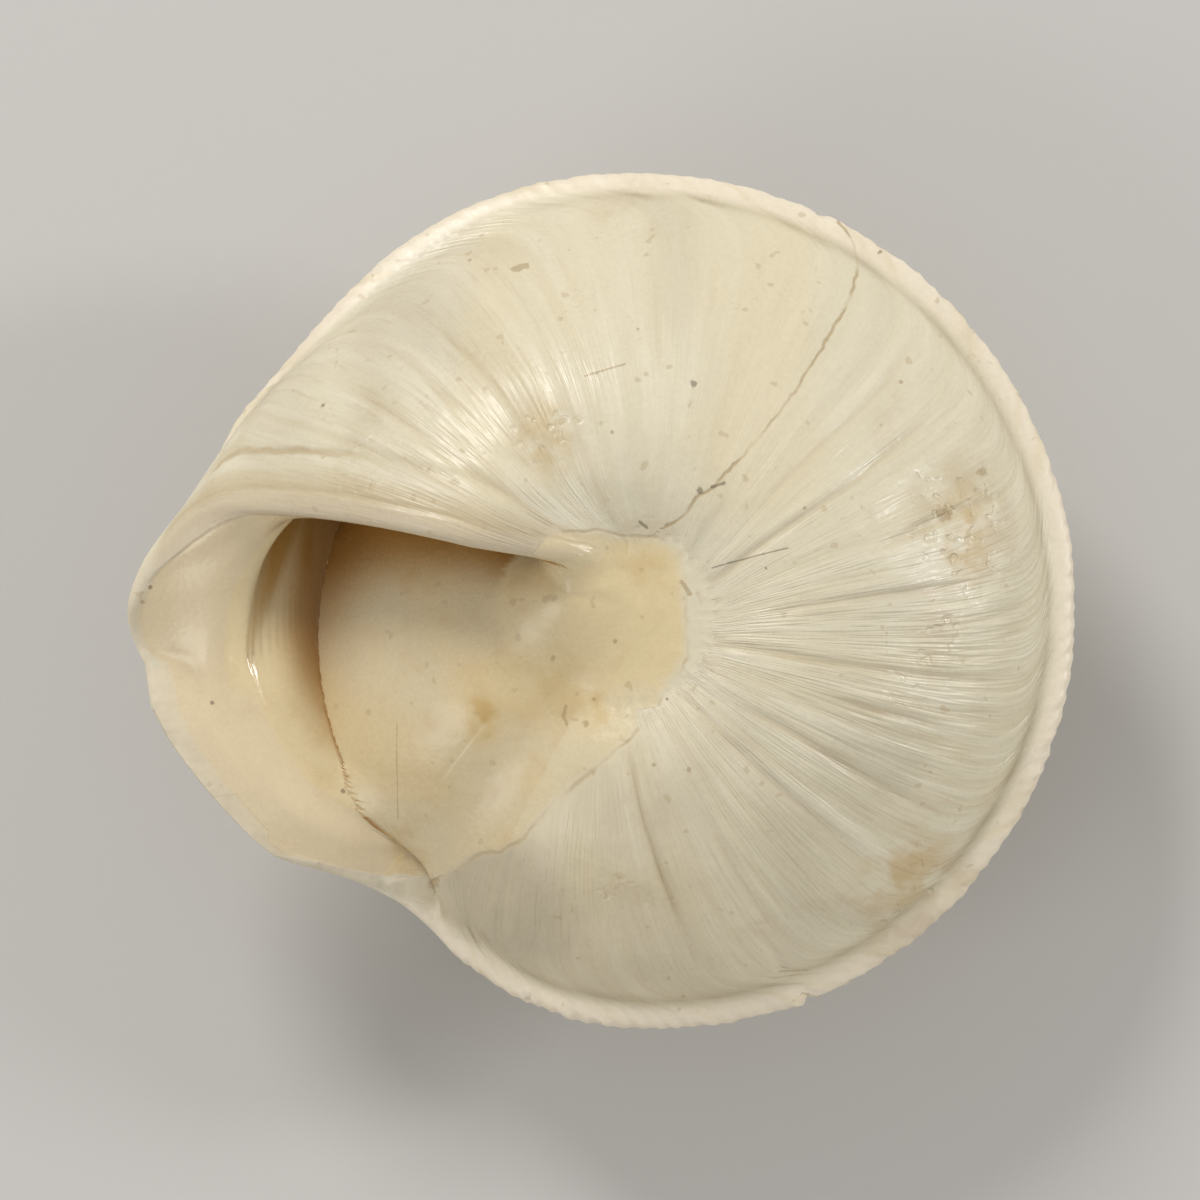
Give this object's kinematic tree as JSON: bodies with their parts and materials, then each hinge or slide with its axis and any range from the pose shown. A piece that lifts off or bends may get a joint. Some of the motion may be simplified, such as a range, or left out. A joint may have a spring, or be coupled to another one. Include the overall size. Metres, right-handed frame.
{
  "type": "land snail shell",
  "caption": "Keeled, low-spired land snail shell about 20 mm wide, cream and grey, empty, resting on its worn apex with its base and mouth up.",
  "frame": {"origin": "the centre of the worn apex, where the shell's axis meets the ground it rests on", "axes": "+Z along the shell's axis from the apex to the base, so the mouth and the base face up; +X away from the mouth's outer corner, which lies at -X; +Y from the free keel below the mouth to the back"},
  "size_m": [0.02, 0.0181, 0.0099],
  "materials": {
    "shell": "chalky cream shell wall with grey and warm tinges, faintly glossy on the base, with a smooth yellowish lip and an ochre inside"
  },
  "bodies": {
    "root": {"shell": "shell"}
  },
  "joints": []
}
